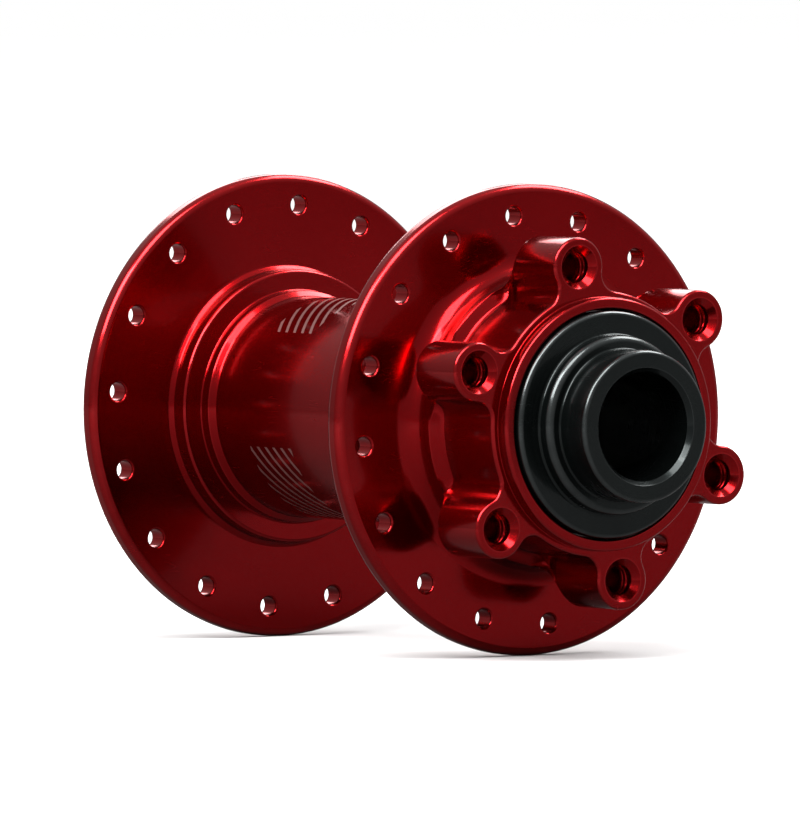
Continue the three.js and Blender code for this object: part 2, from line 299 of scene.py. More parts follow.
press_gap = 0.05  # between a bearing and its seat
race_low, race_high = corners_of("drive_side_outer_race")
seat_radius = race_high[0] + press_gap
seat_bottom = race_low[1] - press_gap
bore_radius = 13.4
barrel_radius = 15.6
inner_step, outer_step = 16.4, 19.3  # radii of the two steps at the drive-side flange


def rounded(corners, steps=4):
    """Profile through corners (radius, along, rounding). A rounded corner becomes the arc that
    touches both its sides, centre + (sin((1-s)w) u0 + sin(s w) u1) / sin w, with a support point
    off each end. Also returns the edge mask: the sine of the way round each outward arc. The caps
    use it for rubbing, and the shell uses it for a painted highlight."""
    corners = np.asarray(corners, float)
    point, rounding = corners[1:-1, :2], corners[1:-1, 2:]
    back, on = corners[:-2, :2] - point, corners[2:, :2] - point
    back /= np.linalg.norm(back, axis=1, keepdims=True)
    on /= np.linalg.norm(on, axis=1, keepdims=True)
    half = np.arccos(np.clip((back * on).sum(1, keepdims=True), -1, 1)) / 2
    reach = rounding / np.tan(half)
    middle = back + on
    middle /= np.linalg.norm(middle, axis=1, keepdims=True)
    centre = point + middle * rounding / np.sin(half)
    sweep = (math.pi - 2 * half)[:, None]
    share = np.linspace(0, 1, steps + 1)[None, :, None]
    start, end = (point + back * reach - centre)[:, None], (point + on * reach - centre)[:, None]
    arc = centre[:, None] + (
        np.sin((1 - share) * sweep) * start + np.sin(share * sweep) * end
    ) / np.sin(sweep)
    stand = reach + SUPPORT * (rounding > 0)
    line = np.concatenate(
        [(point + back * stand)[:, None], arc, (point + on * stand)[:, None]], axis=1
    )
    outward = np.sign(back[:, 0] * on[:, 1] - back[:, 1] * on[:, 0]) < 0
    edge_mask = np.zeros(line.shape[:2])
    edge_mask[:, 1:-1] = np.sin(math.pi * share[0, :, 0]) * outward[:, None]
    line = np.concatenate([corners[:1, :2], line.reshape(-1, 2), corners[-1:, :2]])
    edge_mask = np.concatenate([[0], edge_mask.ravel(), [0]])
    apart = np.ones(len(line), bool)
    apart[1:] = np.linalg.norm(np.diff(line, axis=0), axis=1) > CLOSE
    return line[apart], edge_mask[apart]


column_angle = first_boss - math.pi / bosses + np.arange(COLUMNS) * 2 * math.pi / COLUMNS


def turned(corners, steps=4, angle=column_angle, start=None):
    """Rounded profile swept round the axle: x = radius cos angle, y = along, z = radius sin angle,
    where the first row may have start as its angles. Returns one patch: a grid of points, its edge
    mask, and True because it closes on itself."""
    line, edge_mask = rounded(corners, steps)
    radius, along = line[:, :1], line[:, 1:]
    angle = np.tile(angle, (len(line), 1))
    angle[0] = angle[0] if start is None else start
    grid = np.stack(
        [radius * np.cos(angle), along + 0 * angle, radius * np.sin(angle)], axis=-1
    )
    return grid[None], np.broadcast_to(edge_mask[:, None], grid.shape[:2])[None], True


def rotated(flat, along, angles):
    """Copies of flat points (x, z) at heights along, each turned round the axle by one angle."""
    x, z = flat[..., 0], flat[..., 1]
    turn = angles.reshape((-1,) + (1,) * x.ndim)
    return np.stack(
        [
            x * np.cos(turn) - z * np.sin(turn),
            np.broadcast_to(along, x.shape) + 0 * turn,
            x * np.sin(turn) + z * np.cos(turn),
        ],
        axis=-1,
    )


def joined(name, patches, finish, body, *nodes):
    """One piece from its patches in millimetres: a four-sided face between neighbouring rows and
    columns of each grid, doubles merged, faces pointing out, the edge mask kept as an attribute.
    Faces square to the axle are shaded flat."""
    faces, first = [], 0
    for grid, _, closed in patches:
        number = first + np.arange(grid[..., 0].size).reshape(grid.shape[:3])
        if closed:
            number = np.concatenate([number, number[:, :, :1]], axis=2)
        faces.append(np.stack(
            [number[:, :-1, :-1], number[:, 1:, :-1], number[:, 1:, 1:], number[:, :-1, 1:]],
            axis=-1,
        ).reshape(-1, 4))
        first += grid[..., 0].size
    points = np.concatenate([grid.reshape(-1, 3) for grid, _, _ in patches]) * MM
    mesh = bpy.data.meshes.new(name)
    mesh.from_pydata(points.tolist(), [], np.concatenate(faces).tolist())
    edge_mask = np.concatenate([np.asarray(wear_and_highlight).ravel() for _, wear_and_highlight, _ in patches])
    mesh.attributes.new("wear_and_highlight", "FLOAT", "POINT").data.foreach_set("value", edge_mask)
    work = bmesh.new()
    work.from_mesh(mesh)
    bmesh.ops.remove_doubles(work, verts=work.verts, dist=2 * CLOSE * MM)
    bmesh.ops.recalc_face_normals(work, faces=work.faces)
    work.to_mesh(mesh)
    work.free()
    normals = np.empty(3 * len(mesh.polygons), np.float32)
    mesh.polygons.foreach_get("normal", normals)
    mesh.polygons.foreach_set("use_smooth", np.abs(normals[1::3]) < SQUARE)
    mesh.materials.append(finish)
    made = bpy.data.objects.new(name, mesh)
    bpy.context.collection.objects.link(made)
    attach(made, body)
    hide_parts(*nodes)
    return made


def loop_round(inner, outer, side_rows):
    """Closed loop along an inner edge, out, back along an outer edge, and in again."""
    share = np.linspace(0, 1, side_rows + 1)[:-1, None]
    return np.concatenate([
        inner[:-1],
        inner[-1] * (1 - share) + outer[-1] * share,
        outer[:0:-1],
        outer[0] * (1 - share) + inner[0] * share,
    ])


def ringed(loop, centre, rim, shares):
    """Flat grid from a loop to the circle of radius rim about centre: each row goes a share of
    the way along the straight lines towards it. Also returns the lines' directions."""
    away = loop - centre
    direction = away / np.linalg.norm(away, axis=1, keepdims=True)
    shares = shares[:, None, None]
    return loop * (1 - shares) + (centre + rim * direction) * shares, direction


def drilled(faces, first):
    """The two flat faces of a flange, outer then inner, and the walls of its spoke holes."""
    angles = first + np.arange(spokes) * 2 * math.pi / spokes
    step = COLUMNS // spokes
    across = np.linspace(-math.pi / spokes, math.pi / spokes, step + 1)
    edge = np.stack([np.cos(across), np.sin(across)], axis=-1)
    centre = np.array([spoke_circle, 0.0])
    rim = spoke_hole + hole_mouth + SUPPORT
    loop = loop_round(edge * band[0], edge * band[1], step // 3)
    flat, direction = ringed(loop, centre, rim, band_rings)
    into = math.copysign(1, faces[1] - faces[0])
    depth = abs(faces[1] - faces[0])
    wall, _ = rounded([
        (rim, 0, 0), (spoke_hole, 0, hole_mouth), (spoke_hole, depth, hole_mouth), (rim, depth, 0),
    ], 2)
    tube = centre + wall[:, :1, None] * direction
    along = faces[0] + into * wall[:, 1:]
    patches = [(rotated(flat, face, angles), np.zeros((spokes,) + flat.shape[:2]), True)
               for face in faces]
    edge_mask = np.zeros((spokes,) + tube.shape[:2]) + np.abs(np.sin(
        np.clip(wall[:, 1] / hole_mouth, 0, 1) * math.pi))[:, None]
    patches.append((rotated(tube, along, angles), edge_mask, True))
    return patches


halfway = math.pi / bosses
fillet_distance = neck_radius + boss_fillet
lean = math.acos((fillet_distance**2 + bolt_circle**2 - (boss_radius + boss_fillet) ** 2)
                 / (2 * fillet_distance * bolt_circle))
around = math.atan2(fillet_distance * math.sin(lean),
                    fillet_distance * math.cos(lean) - bolt_circle)
neck_columns, fillet_columns = COLUMNS // 72, COLUMNS // 48
boss_columns = COLUMNS // bosses - 2 * (neck_columns + fillet_columns)


def boss_outline(offset):
    """One sixth of the mount's milled outline, offset inwards: half the neck between two bosses,
    a fillet, the boss, a fillet and half a neck, arcs that touch: centre + radius (cos, sin)."""
    def arc(distance, direction, radius, start, end, columns):
        """Arc about the point at this distance and direction from the axle."""
        t = np.linspace(start, end, columns + 1)
        return distance * np.array([math.cos(direction), math.sin(direction)]) + (
            radius * np.stack([np.cos(t), np.sin(t)], axis=-1)
        )

    half = np.concatenate([
        arc(0, 0, neck_radius - offset, -halfway, -lean, neck_columns)[:-1],
        arc(fillet_distance, -lean, boss_fillet + offset, math.pi - lean, math.pi - around,
            fillet_columns)[:-1],
    ])
    boss = arc(bolt_circle, 0, boss_radius - offset, -around, around, boss_columns)
    return np.concatenate([half, boss, half[::-1] * (1, -1)])


# Where the flat face is cut up: beside the neck and the start of each fillet lies a narrow strip.
strip = neck_columns + fillet_columns // 3
face_outline = boss_outline(face_edge + SUPPORT)
face_angle = np.arctan2(face_outline[:, 1], face_outline[:, 0])
face_angle[strip:-strip] = np.linspace(
    face_angle[strip], face_angle[-strip - 1], len(face_angle[strip:-strip])
)
mouth_angle = (
    first_boss + np.arange(bosses)[:, None] * 2 * halfway + face_angle[:-1]
).ravel()


def mount_outline(offset):
    """The whole outline: radius and angle of one point for each column."""
    turn = first_boss + np.arange(bosses) * 2 * halfway
    flat = rotated(boss_outline(offset)[:-1], 0.0, turn).reshape(-1, 3)
    angle = np.arctan2(flat[:, 2], flat[:, 0])
    angle = column_angle + (angle - column_angle + math.pi) % (2 * math.pi) - math.pi
    return np.hypot(flat[:, 0], flat[:, 2]), angle


def curved(start, corner, end, steps):
    """Quadratic curve (1-s)^2 start + 2 s (1-s) corner + s^2 end."""
    s = np.linspace(0, 1, steps + 1)[:, None, None]
    return (1 - s) ** 2 * start + 2 * s * (1 - s) * corner + s**2 * end


def disc_mount():
    """The milled wall of the bosses and the groove behind them. A row holds, for each column,
    the radius, the height along the axle and how far the angle has gone over from the outline's
    own to the turned columns'. Behind a boss the groove is a quarter ellipse,
    (tip - (tip - ridge) sin a, ridge - depth cos a); beside the neck it is a cone."""
    edge_steps, groove_steps, ridge_steps = 5, 5, 4
    radius, angle = mount_outline(0.0)
    share = np.linspace(0, 1, edge_steps + 1)[:, None]
    bevel = [mount_outline(face_edge + SUPPORT)] + [
        mount_outline(face_edge * (1 - math.sin(s * math.pi / 2))) for s in share[:, 0]
    ]
    bevel_height = np.concatenate([[0], face_edge * (1 - np.cos(share[:, 0] * math.pi / 2))])
    swing = np.arcsin(np.clip((boss_tip - radius) / (boss_tip - ridge[0]), 0, 1))

    def groove(t):
        """The row that lies this share of the way from the wall to the ridge."""
        far = swing + (math.pi / 2 - swing) * t
        inside = radius < ridge[0]
        slope = ridge[1] - (ridge[0] - radius) / neck_rise
        return np.stack([
            np.where(inside, radius + (ridge[0] - radius) * t,
                     boss_tip - (boss_tip - ridge[0]) * np.sin(far)),
            np.where(inside, slope + (ridge[1] - slope) * t,
                     ridge[1] - groove_depth * np.cos(far)),
            t + 0 * radius,
        ])

    edge = groove(0.0 * radius)
    length = np.hypot(radius - ridge[0], edge[1] - ridge[1]).clip(groove_least)
    near = np.minimum(back_edge / length, back_share)
    along = np.array([0, 1, 0])[:, None]
    wall_end = edge - back_edge * along
    wall_start = np.stack([radius, disc_face + face_edge + 0 * radius, 0 * radius])
    onwards = near + (groove_end - near) * np.linspace(0, 1, groove_steps + 1)[1:, None]
    corner = np.stack([ridge[0] + 0 * radius, ridge[1] + 0 * radius, 1 + 0 * radius])
    rows = np.concatenate([
        (wall_start + SUPPORT * along)[None],
        (wall_end - SUPPORT * along)[None],
        curved(wall_end, edge, groove(near), edge_steps),
        np.stack([groove(t) for t in onwards]),
        curved(groove(groove_end + 0 * radius), corner, corner + ridge_width * along,
               ridge_steps)[1:],
    ])
    flare = rows[:, 0], angle + (column_angle - angle) * rows[:, 2]
    wall = np.stack([flare[0] * np.cos(flare[1]), rows[:, 1], flare[0] * np.sin(flare[1])], -1)
    front = np.stack([
        np.stack([r * np.cos(a), disc_face + h + 0 * r, r * np.sin(a)], -1)
        for (r, a), h in zip(bevel, bevel_height)
    ])
    edge_mask = np.zeros((len(front) + len(wall), COLUMNS))
    edge_mask[1:len(front)] = np.sin(share * math.pi)
    start = len(front) + 2
    edge_mask[start:start + edge_steps + 1] = (
        np.sin(share * math.pi) * (radius > ridge[0] + ridge_margin)
    )
    edge_mask[-ridge_steps:] = np.sin(np.linspace(0, 1, ridge_steps + 1)[1:, None] * math.pi) * (
        radius < ridge[0] - ridge_margin
    )
    return np.concatenate([front, wall])[None], edge_mask[None], True


def tapped():
    """The mount's flat face round each bolt, and the countersunk, threaded, drilled hole: the
    thread's radius is core + rise (1 - cos 2 pi (depth / pitch - angle / 2 pi)) / 2."""
    angles = first_boss + np.arange(bosses) * 2 * halfway
    inner = face_start * np.stack([np.cos(face_angle), np.sin(face_angle)], axis=-1)
    pair = np.stack([inner, face_outline])
    strips = [
        (rotated(part, disc_face, angles), np.zeros((bosses,) + part.shape[:2]), False)
        for part in (pair[:, :strip + 1], pair[:, -strip - 1:])
    ]
    loop = loop_round(inner[strip:-strip], face_outline[strip:-strip], 1)
    centre = np.array([bolt_circle, 0.0])
    mouth, _ = rounded([
        (sink_radius + sink_rim, 0, 0), (sink_radius, 0, sink_edge), (thread_core, sink_depth, 0.1),
        (thread_core, thread_start, 0),
    ])
    flat, direction = ringed(loop, centre, mouth[0, 0], sink_rings)
    depth = np.arange(thread_start, thread_seen, thread_pitch / thread_rows)[1:, None]
    around = np.arctan2(direction[:, 1], direction[:, 0])[None]
    fade = np.clip((depth - thread_start) / thread_pitch, 0, 1) * np.clip(
        (thread_seen - depth) / thread_pitch, 0, 1
    )
    thread = thread_core + thread_rise * fade * (
        1 - np.cos(2 * math.pi * depth / thread_pitch - around)
    ) / 2
    even = np.ones_like(around)
    radii = np.concatenate([
        mouth[:, :1] * even, thread, thread_core * even, thread_core * even, 0 * even,
    ])
    depths = np.concatenate([
        mouth[:, 1:] * even, depth * even, thread_seen * even, hole_depth * even,
        (hole_depth + drill_point) * even,
    ])
    tube = centre + radii[..., None] * direction
    edge_mask = np.zeros((bosses,) + tube.shape[:2])
    # Painted highlight: the countersink's rounded mouth takes the brighter edge red at a steady
    # share.
    edge_mask[:, 1:5] = sink_highlight
    return strips + [
        (rotated(flat, disc_face, angles), np.zeros((bosses,) + flat.shape[:2]), True),
        (rotated(tube, disc_face + depths, angles), edge_mask, True),
    ]


half_pitch = math.pi / spokes
shell_patches = [
    turned([
        (bore_radius, 0, 0), (bore_radius, -seat_bottom, 0.15), (seat_radius, -seat_bottom, 0.25),
        (seat_radius, -shell_end, 0.3), (register_radius, -shell_end, 0.4),
        (register_radius, disc_face, 0.12), (face_start, disc_face, 0),
    ], angle=mouth_angle, start=column_angle),
    *tapped(),
    disc_mount(),
    turned([
        (ridge[0], ridge[1] + ridge_width, 0), (ridge[0], disc_flange[0], 3.0),
        (band[0], disc_flange[0], 0),
    ], 6),
    *drilled(disc_flange, first_hole),
    turned([
        (band[1], disc_flange[0], 0), (flange_radius, disc_flange[0], flange_edge),
        (flange_radius, disc_flange[1], flange_edge), (band[1], disc_flange[1], 0),
    ]),
    turned([
        (band[0], disc_flange[1], 0), (20.3, disc_flange[1], 3.6), (19.9, -19.5, 7),
        (barrel_radius, -7.5, 12), (barrel_radius, 0, 0),
    ], 7),
    turned([
        (barrel_radius, 0, 0), (barrel_radius, 26.3, 0.5), (inner_step, 27.1, 0.35),
        (inner_step, 28.8, 0.3), (outer_step, 28.8, 0.45), (outer_step, 31.3, 0.4),
        (outer_step + 0.6, drive_flange[1], 0.5), (band[0], drive_flange[1], 0),
    ], 3),
    *drilled(drive_flange, first_hole + half_pitch),
    turned([
        (band[1], drive_flange[1], 0), (flange_radius, drive_flange[1], flange_edge),
        (flange_radius, drive_flange[0], flange_edge), (band[1], drive_flange[0], 0),
    ]),
    turned([
        (band[0], drive_flange[0], 0), (21, drive_flange[0], 2), (18.8, shell_end - 0.9, 0.8),
        (18.1, shell_end, 0.35), (seat_radius, shell_end, 0.3), (seat_radius, seat_bottom, 0.25),
        (bore_radius, seat_bottom, 0.15), (bore_radius, 0, 0),
    ], 3),
]

# The red is in the clear oxide skin over polished metal: soft clouds of a deeper red where the skin
# took more dye. A brighter red is painted along the rounded edges and round the countersink mouths
# as a painted highlight. Fine turning lines run round the axle.

shell_red = (0.4, 0.003, 0.005, 1)
# painted highlight: the brighter red along the shell's rounded edges and countersink mouths
shell_red_highlight = (0.66, 0.03, 0.035, 1)
shell_red_deep = (0.25, 0.001, 0.003, 1)
cloud_scale = 24.0
etched_grey = (0.3, 0.17, 0.16, 1)
etched_middle, etched_half = 14.0, 5.0  # along the barrel
etched_from = 15.0  # radius: the inside of the barrel stays plain
etched_patches, patch_turn, patch_cosine = 3.0, 0.7, 0.1
dashes_along, dashes_round = 520.0, 5.0  # to a metre, and to a radian
dash_gap = 0.68  # share of each dash's pitch that stays plain


def effect(name, inputs, outputs):
    """An empty node group with these float inputs (name: default) and float outputs."""
    group = bpy.data.node_groups.new(name, "ShaderNodeTree")
    for label, default in inputs.items():
        made = group.interface.new_socket(label, in_out="INPUT", socket_type="NodeSocketFloat")
        made.default_value = default
    for label in outputs:
        group.interface.new_socket(label, in_out="OUTPUT", socket_type="NodeSocketFloat")
    return group, node(group, "NodeGroupInput").outputs, node(group, "NodeGroupOutput").inputs


def from_axle(tree, parts):
    """Distance from the axle: the square root of x^2 + z^2."""
    return maths(tree, "SQRT", maths(
        tree, "ADD", maths(tree, "MULTIPLY", parts["X"], parts["X"]),
        maths(tree, "MULTIPLY", parts["Z"], parts["Z"]),
    ))


# Lines that a turning tool leaves: they vary with the radius and along the axle, hardly round it.
turning_lines, given, result = effect(
    "turning_lines", {"Lines per Metre": 9000.0, "Waver": 0.02}, ["Lines"]
)
parts = node(turning_lines, "ShaderNodeSeparateXYZ", {0: places(turning_lines)}).outputs
across_lines = node(turning_lines, "ShaderNodeCombineXYZ", {
    "X": from_axle(turning_lines, parts), "Y": parts["Y"],
    "Z": maths(turning_lines, "MULTIPLY", parts["X"], given["Waver"]),
}).outputs[0]
lines = noise(turning_lines, across_lines, given["Lines per Metre"], detail=1.0)
turning_lines.links.new(lines, result["Lines"])

# Marks of handling: broad smudges, and hair scratches where a stretched noise crosses its middle.
smudge_span = (0.42, 0.68)
scratch_turn, scratch_stretch = (0.6, 0.3, 0.9), (260.0, 60.0, 900.0)
scratch_width = 0.006
scratch_patches, patch_span = 140.0, (0.56, 0.64)
handling, given, result = effect("handling", {"Smudge Scale": 60.0}, ["Smudge", "Scratch"])
place = places(handling)
smudge = ranged(handling, noise(handling, place, given["Smudge Scale"], 4.0, 0.6, 0.4), smudge_span)
stretched = node(handling, "ShaderNodeMapping", {
    "Vector": place, "Rotation": scratch_turn, "Scale": scratch_stretch,
}).outputs[0]
ribbon = maths(
    handling, "ABSOLUTE", maths(handling, "SUBTRACT", noise(handling, stretched, 1.0), 0.5)
)
hair = ranged(handling, ribbon, (scratch_width, 0.0))
sparse = ranged(handling, noise(handling, place, scratch_patches, 1.0), patch_span)
handling.links.new(smudge, result["Smudge"])
handling.links.new(maths(handling, "MULTIPLY", hair, sparse), result["Scratch"])

# Rounded edges picked out in a second colour: the edge mask attribute, broken up by noise. On the
# caps this is rubbing; on the shell it is a painted highlight.
break_scale, break_share, break_least = 420.0, 0.9, 0.15
worn_and_highlit_edges, given, result = effect("worn_and_highlit_edges", {"Amount": 1.0}, ["Rubbed"])
wear_and_highlight = node(worn_and_highlit_edges, "ShaderNodeAttribute", attribute_name="wear_and_highlight").outputs["Fac"]
broken = maths(
    worn_and_highlit_edges, "MULTIPLY_ADD", noise(worn_and_highlit_edges, places(worn_and_highlit_edges), break_scale, 4.0, 0.65),
    break_share, break_least,
)
edge_wear_and_highlight = maths(worn_and_highlit_edges, "MULTIPLY", maths(worn_and_highlit_edges, "MULTIPLY", wear_and_highlight, broken),
               given["Amount"], clamp=True)
worn_and_highlit_edges.links.new(edge_wear_and_highlight, result["Rubbed"])


def placed(tree, group, **values):
    """A node group placed in a material with its own values."""
    made = node(tree, "ShaderNodeGroup", node_tree=group)
    for key, value in values.items():
        made.inputs[key.replace("_", " ")].default_value = value
    return made.outputs


def summed(tree, base, *masks):
    """The base, plus each mask times its amount."""
    for mask, amount in masks:
        base = maths(tree, "MULTIPLY_ADD", mask, amount, base)
    return base


def surfaced(tree, shader, colour, roughness):
    """Feeds the shader its colour and its roughness."""
    tree.links.new(colour, shader.inputs["Base Color"])
    tree.links.new(roughness, shader.inputs["Roughness"])


def embossed(tree, shader, relief, depth):
    """Feeds the shader's normal from a relief that is depth millimetres high."""
    bump = node(tree, "ShaderNodeBump", {"Height": relief, "Distance": depth * MM})
    tree.links.new(bump.outputs[0], shader.inputs["Normal"])


shell_finish, tree, shader = finish_of(
    "red_anodised_shell", Metallic=1.0, Coat_Weight=0.2, Coat_Roughness=0.08
)
lines = placed(tree, turning_lines, Lines_per_Metre=7000.0)["Lines"]
marks = placed(tree, handling, Smudge_Scale=55.0)
# The edge share paints a brighter red along the shell's rounded edges and countersink mouths: a
# painted highlight.
edge_wear_and_highlight = placed(tree, worn_and_highlit_edges, Amount=0.6)["Rubbed"]
place = places(tree)
clouds = noise(tree, place, cloud_scale, 3.0)

# Laser-etched trim on the barrel: slanted dashes in three patches round it, pale and matt.
parts = node(tree, "ShaderNodeSeparateXYZ", {0: place}).outputs
round_angle = maths(tree, "ARCTAN2", parts["Z"], parts["X"])
slant = maths(tree, "MULTIPLY_ADD", parts["Y"], dashes_along,
              maths(tree, "MULTIPLY", round_angle, dashes_round))
dash = maths(tree, "GREATER_THAN", maths(tree, "FRACT", slant), dash_gap)
patch = maths(tree, "GREATER_THAN", maths(tree, "COSINE", maths(
    tree, "MULTIPLY_ADD", round_angle, etched_patches, patch_turn)), patch_cosine)
off_middle = maths(tree, "ABSOLUTE", maths(tree, "SUBTRACT", parts["Y"], etched_middle * MM))
inside = maths(tree, "LESS_THAN", off_middle, etched_half * MM)
outside = maths(tree, "GREATER_THAN", from_axle(tree, parts), etched_from * MM)
etched = maths(tree, "MULTIPLY", maths(tree, "MULTIPLY", dash, patch),
               maths(tree, "MULTIPLY", inside, outside))
colour = blended(tree, clouds, shell_red_deep, shell_red)
colour = blended(tree, edge_wear_and_highlight, colour, shell_red_highlight)
colour = blended(tree, etched, colour, etched_grey)
surfaced(tree, shader, colour, summed(
    tree, 0.13, (lines, 0.07), (marks["Smudge"], 0.06), (marks["Scratch"], 0.12), (etched, 0.35)
))
scored = maths(tree, "SUBTRACT", lines, maths(tree, "MULTIPLY", marks["Scratch"], 0.8))
embossed(tree, shader, scored, 0.0015)

shell = joined("red_hub_shell", shell_patches, shell_finish, "shell", "hub_shell")

# ---- End caps --------------------------------------------------------------------------------
# One at each side: turned from aluminium bar, bored for the through axle and anodised black. The
# spigot pushes into the axle sleeve, the skirt covers the bearing, the nose meets the fork.

SIDES = (("disc", -1), ("drive", 1))  # which way each side lies along the axle
SMALL_COLUMNS = 192  # facets round the smaller turned pieces
small_angle = np.arange(SMALL_COLUMNS) * 2 * math.pi / SMALL_COLUMNS

cap_low, cap_high = corners_of("drive_side_end_cap")
skirt_radius, cap_end, _ = cap_high
spigot_radius, spigot_end = 9.9, cap_low[1]
axle_bore, bore_middle = 7.55, 40.0
bore_mouth, bore_bevel = 8.15, 0.7
ring_groove, groove_start, groove_stop = 8.4, 30.84, 32.76
shoulder_radius, shoulder_face = 11.6, 44.25
skirt_face, skirt_back = 47.2, 44.9
step_radius, step_face = 12.4, 49.4
nose_radius = 10.5
cap_profile = [
    (axle_bore, bore_middle, 0), (axle_bore, spigot_end, 0.25), (spigot_radius, spigot_end, 0.3),
    (spigot_radius, groove_start, 0.1), (ring_groove, groove_start, 0.15),
    (ring_groove, groove_stop, 0.15), (spigot_radius, groove_stop, 0.1),
    (spigot_radius, shoulder_face, 0.15), (shoulder_radius, shoulder_face, 0.1),
    (shoulder_radius, skirt_back, 0.15), (skirt_radius, skirt_back, 0.25),
    (skirt_radius, skirt_face, 0.6), (step_radius, skirt_face, 0.35),
    (step_radius, step_face, 0.95), (nose_radius, step_face, 0.3), (nose_radius, cap_end, 0.55),
    (bore_mouth, cap_end, 0.12), (axle_bore, cap_end - bore_bevel, 0.15),
    (axle_bore, bore_middle, 0),
]
cap_black = (0.006, 0.0085, 0.0085, 1)
cap_black_pale = (0.014, 0.018, 0.0175, 1)
cap_edge = (0.11, 0.12, 0.12, 1)


def on_side(patch, side, along=0.0):
    """The patch moved along the axle, then left there (side 1) or mirrored to the disc side
    (side -1)."""
    grid, edge_mask, closed = patch
    return (grid + (0, along, 0)) * (1, side, 1), edge_mask, closed


cap_finish, tree, shader = finish_of(
    "black_anodised_cap", Metallic=0.85, Coat_Weight=0.22, Coat_Roughness=0.08
)
lines = placed(tree, turning_lines, Lines_per_Metre=5200.0)["Lines"]
marks = placed(tree, handling, Smudge_Scale=95.0)
# On the caps the edge share marks rubbing, which leaves the edges grey.
edge_wear_and_highlight = placed(tree, worn_and_highlit_edges, Amount=0.7)["Rubbed"]
colour = blended(tree, noise(tree, places(tree), 70.0, 4.0), cap_black, cap_black_pale)
colour = blended(tree, edge_wear_and_highlight, colour, cap_edge)
surfaced(tree, shader, colour, summed(
    tree, 0.16, (lines, 0.1), (marks["Smudge"], 0.1), (marks["Scratch"], 0.15)
))
embossed(tree, shader, lines, 0.003)

for name, side in SIDES:
    cap = joined(
        f"{name}_side_black_cap", [on_side(turned(cap_profile, angle=small_angle), side)],
        cap_finish, f"{name}_cap", f"{name}_side_end_cap",
    )

# ---- Cap O-rings -----------------------------------------------------------------------------
# A moulded ring of round nitrile cord sits in the groove of each spigot. It grips the inside of
# the sleeve, so that the cap stays on when the axle is out.

ring_low, ring_high = corners_of("drive_side_cap_o_ring")
cord_radius = 0.74
ring_slack = 0.01
ring_radius = ring_high[0] - ring_slack - cord_radius
ring_along = (ring_low[1] + ring_high[1]) / 2
ring_columns, cord_columns = 128, 24
rubber_black, rubber_bloom = (0.008, 0.008, 0.009, 1), (0.022, 0.021, 0.022, 1)


def torus():
    """Round cord on a circle: radius ring + cord cos u, height along - cord sin u, turned round
    the axle by v."""
    u = np.arange(cord_columns + 1)[:, None] * 2 * math.pi / cord_columns
    v = np.arange(ring_columns) * 2 * math.pi / ring_columns
    radius, height = ring_radius + cord_radius * np.cos(u), ring_along - cord_radius * np.sin(u)
    grid = np.stack([radius * np.cos(v), height + 0 * v, radius * np.sin(v)], axis=-1)
    return grid[None], np.zeros((1,) + grid.shape[:2]), True


ring_finish, tree, shader = finish_of("nitrile_ring", Coat_Weight=0.15, Coat_Roughness=0.3)
grain = noise(tree, places(tree), 900.0, 4.0)
surfaced(tree, shader, blended(tree, grain, rubber_black, rubber_bloom),
         summed(tree, 0.32, (grain, 0.25)))
embossed(tree, shader, grain, 0.01)

for name, side in SIDES:
    ring = joined(
        f"{name}_side_rubber_ring", [on_side(torus(), side)], ring_finish, f"{name}_cap",
        f"{name}_side_cap_o_ring",
    )

# ---- Axle sleeve -----------------------------------------------------------------------------
# Thin aluminium tube between the two inner races, relieved in the middle, left as it came off
# the lathe: coarse feed lines and no anodising.

collar_radius, sleeve_end, _ = corners_of("axle_sleeve")[1]
sleeve_bore = 10.1
collar_start = sleeve_end - 8
relief = 0.4
waist = collar_radius - relief
sleeve_profile = [
    (sleeve_bore, 0, 0), (sleeve_bore, -sleeve_end, 0.15), (collar_radius, -sleeve_end, 0.25),
    (collar_radius, -collar_start, 0.1), (waist, relief - collar_start, 0.2),
    (waist, collar_start - relief, 0.2), (collar_radius, collar_start, 0.1),
    (collar_radius, sleeve_end, 0.25), (sleeve_bore, sleeve_end, 0.15), (sleeve_bore, 0, 0),
]
alloy_dull, alloy_bright = (0.66, 0.665, 0.67, 1), (0.86, 0.86, 0.85, 1)
alloy_smudged = (0.62, 0.61, 0.59, 1)

sleeve_finish, tree, shader = finish_of("bare_turned_aluminium", Metallic=1.0)
lines = placed(tree, turning_lines, Lines_per_Metre=3800.0)["Lines"]
marks = placed(tree, handling, Smudge_Scale=80.0)
colour = blended(tree, lines, alloy_dull, alloy_bright)
surfaced(tree, shader, blended(tree, marks["Smudge"], colour, alloy_smudged),
         summed(tree, 0.22, (lines, 0.12), (marks["Smudge"], 0.14)))
embossed(tree, shader, lines, 0.006)
sleeve = joined(
    "turned_axle_sleeve", [turned(sleeve_profile, angle=small_angle)], sleeve_finish, "axle",
    "axle_sleeve",
)

# ---- Bearing races ---------------------------------------------------------------------------
# Ground rings of hardened chrome steel, two to a bearing. The inner ring sits on the cap's
# spigot, the outer ring is pressed into the shell. Each has a polished groove for the balls.

bearing_middle = (race_low[1] + race_high[1]) / 2
half_width = (race_high[1] - race_low[1]) / 2
race_radius = race_high[0]
bearing_bore = 10.0
recess_radius, recess_edge = 14.8, 2.4  # the seals snap in here
ball_low, ball_high = corners_of("drive_side_ball_01")
ball_middle = (ball_low + ball_high) / 2
ball_radius = (ball_high[0] - ball_low[0]) / 2
ball_circle = math.hypot(ball_middle[0], ball_middle[2])
ball_play = 0.02
land = 1.25  # from the ball circle to the ground land beside either groove
groove_turn = 1.8  # radius of the ball groove
groove_edge = 1.28  # half the groove's width where it meets the land

